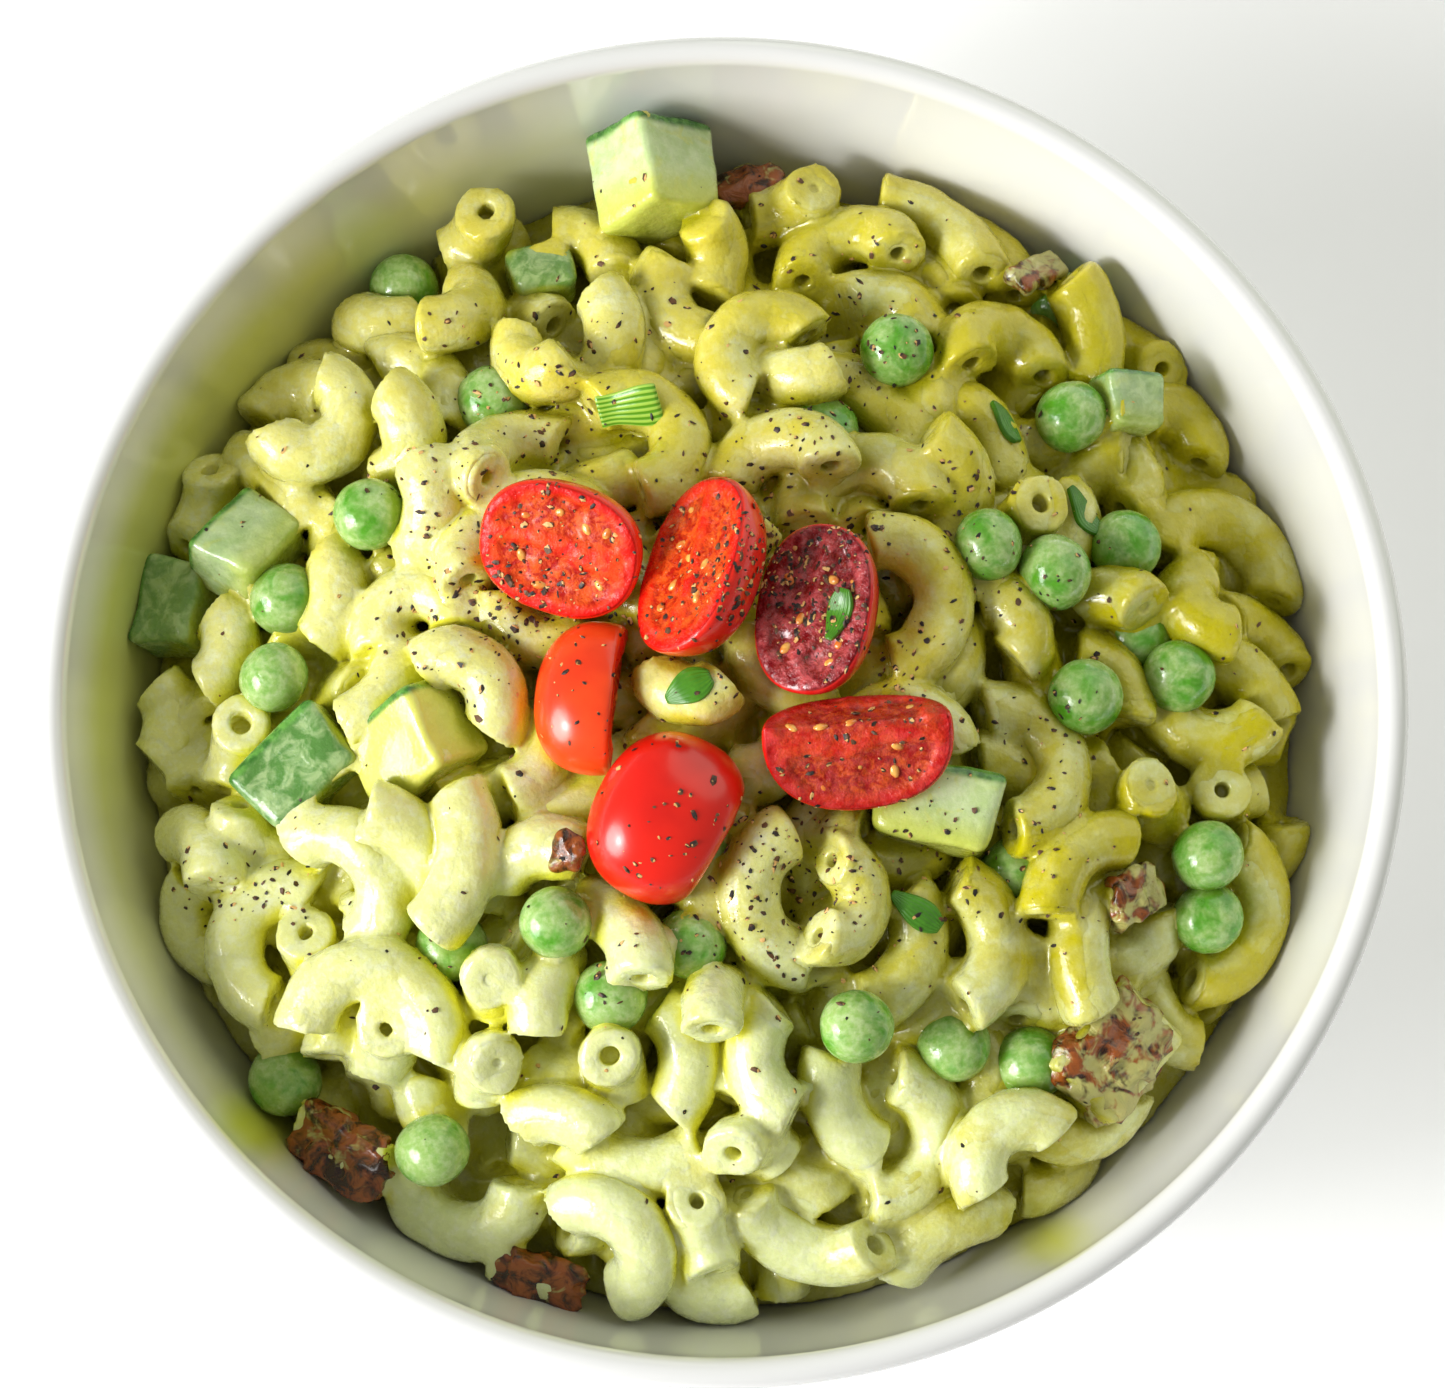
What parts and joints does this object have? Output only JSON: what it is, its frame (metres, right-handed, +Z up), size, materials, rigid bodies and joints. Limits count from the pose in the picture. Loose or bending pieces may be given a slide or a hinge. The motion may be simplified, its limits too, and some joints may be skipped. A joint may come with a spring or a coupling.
{
  "type": "pasta salad in a bowl",
  "caption": "Heaped elbow macaroni salad in a creamy dressing with peas, cucumber and halved cherry tomatoes, in a plain round white bowl on a foot ring.",
  "frame": {"origin": "on the bowl's axis, in the plane its foot ring stands on", "axes": "+Z up along the bowl's axis, +Y toward the top of the picture"},
  "size_m": [0.16, 0.16, 0.0777],
  "materials": {
    "white_glaze": "smooth glossy white glaze",
    "dressed_pasta": "wet creamy dressing over cooked pasta, softly glossy",
    "cherry_tomato": "shiny tomato skin and wet cut flesh"
  },
  "bodies": {
    "root": {"bowl": "white_glaze", "salad_heap": "dressed_pasta", "tomato_1": "cherry_tomato", "tomato_2": "cherry_tomato", "tomato_3": "cherry_tomato", "tomato_4": "cherry_tomato", "tomato_5": "cherry_tomato", "tomato_6": "cherry_tomato"}
  },
  "joints": []
}
